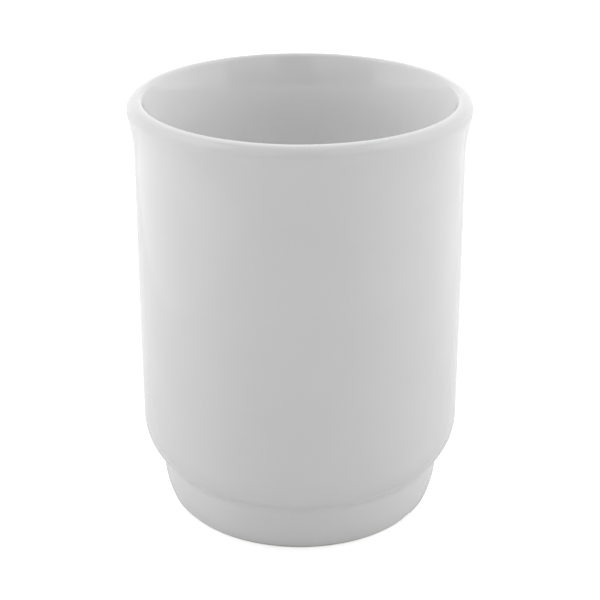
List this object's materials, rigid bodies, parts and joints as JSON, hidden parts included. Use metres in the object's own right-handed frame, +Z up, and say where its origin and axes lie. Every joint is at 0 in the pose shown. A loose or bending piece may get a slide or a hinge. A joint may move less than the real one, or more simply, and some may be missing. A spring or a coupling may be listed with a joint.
{
  "type": "pen holder cup",
  "caption": "White glazed porcelain pen cup with nearly straight sides, a flared rounded lip, a stepped-in foot and a drain notch.",
  "frame": {"origin": "on the table, at the centre of the foot's bearing ring", "axes": "+Z up along the cup's axis towards the open lip; -Y towards the side seen from the front, with the drain notch to its right at 37 degrees from +X towards -Y"},
  "size_m": [0.082, 0.082, 0.105],
  "materials": {
    "porcelain": "fired, unglazed, fine matt",
    "glaze": "clear white glaze, high gloss"
  },
  "bodies": {
    "root": {"cup_body": "porcelain", "outer_glaze": "glaze", "inner_glaze": "glaze", "foot_well_glaze": "glaze"}
  },
  "joints": []
}
